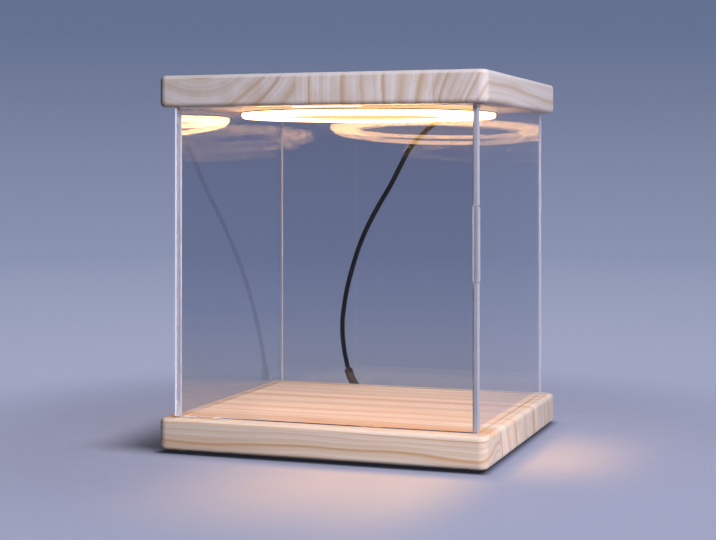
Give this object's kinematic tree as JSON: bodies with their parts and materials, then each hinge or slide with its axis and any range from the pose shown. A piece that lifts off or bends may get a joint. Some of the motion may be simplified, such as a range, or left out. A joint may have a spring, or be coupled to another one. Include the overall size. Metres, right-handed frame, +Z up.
{
  "type": "lit display case",
  "caption": "Clear display case between two wooden boards, with a swinging front door and a ring lamp under the lid.",
  "frame": {"origin": "middle of the case, on the surface that its feet stand on", "axes": "+X to the right along the front, +Y towards the back, +Z up; the door faces -Y"},
  "size_m": [0.22, 0.263, 0.2452],
  "materials": {
    "wood_base": "clear matt varnish on pale edge-glued softwood, grain along X",
    "wood_lid": "clear matt varnish on pale edge-glued softwood, grain along Y",
    "clear_acrylic": "clear cast sheet with polished edges",
    "pivot_steel": "ground rod",
    "bush_brass": "turned",
    "tray_metal": "cream satin powder coat",
    "board_white": "white solder mask",
    "chip_phosphor": "yellow phosphor, lit",
    "opal_diffuser": "opal, glowing warm white",
    "screw_steel": "bright zinc",
    "lead_rubber": "soft moulded, satin",
    "lead_jacket": "smooth flexible jacket",
    "switch_plastic": "fine spark-eroded texture",
    "board_green": "solder mask",
    "button_plastic": "satin",
    "plug_metal": "nickel-plated sheet",
    "tongue_plastic": "moulded, with bare contacts",
    "foot_silicone": "clear soft silicone"
  },
  "bodies": {
    "case": {"base_board": "wood_base", "lid_board": "wood_lid", "left_panel": "clear_acrylic", "right_panel": "clear_acrylic", "back_panel": "clear_acrylic", "pivot_bush_top": "bush_brass", "pivot_bush_bottom": "bush_brass", "lamp_tray": "tray_metal", "led_board": "board_white", "led_chips": "chip_phosphor", "lamp_diffuser": "opal_diffuser", "tray_screws": "screw_steel", "lead_gland": "lead_rubber", "lead_tail": "lead_jacket", "lamp_lead": "lead_jacket", "lead_sleeve": "lead_rubber", "coil_lead": "lead_jacket", "lead_coil": "lead_jacket", "plug_lead": "lead_jacket", "switch_lower": "switch_plastic", "switch_upper": "switch_plastic", "switch_board": "board_green", "switch_screws": "screw_steel", "plug_body": "lead_rubber", "plug_shell": "plug_metal", "plug_tongue": "tongue_plastic", "foot_front_left": "foot_silicone", "foot_front_right": "foot_silicone", "foot_back_left": "foot_silicone", "foot_back_right": "foot_silicone"},
    "door": {"door_panel": "clear_acrylic", "door_pull": "clear_acrylic", "pivot_pin_top": "pivot_steel", "pivot_pin_bottom": "pivot_steel"},
    "switch_button": {"switch_button": "button_plastic"}
  },
  "joints": [
    {"name": "door_hinge", "type": "hinge", "parent": "case", "child": "door", "pos_m": [-0.1, -0.089, 0.1237], "axis": [0, 0, -1], "range_deg": [0, 180]},
    {"name": "button_press", "type": "slide", "parent": "case", "child": "switch_button", "axis": [0, 0, -1], "range_m": [0, 0.0012], "stiffness_N_per_m": 600, "springref_m": -0.001}
  ]
}
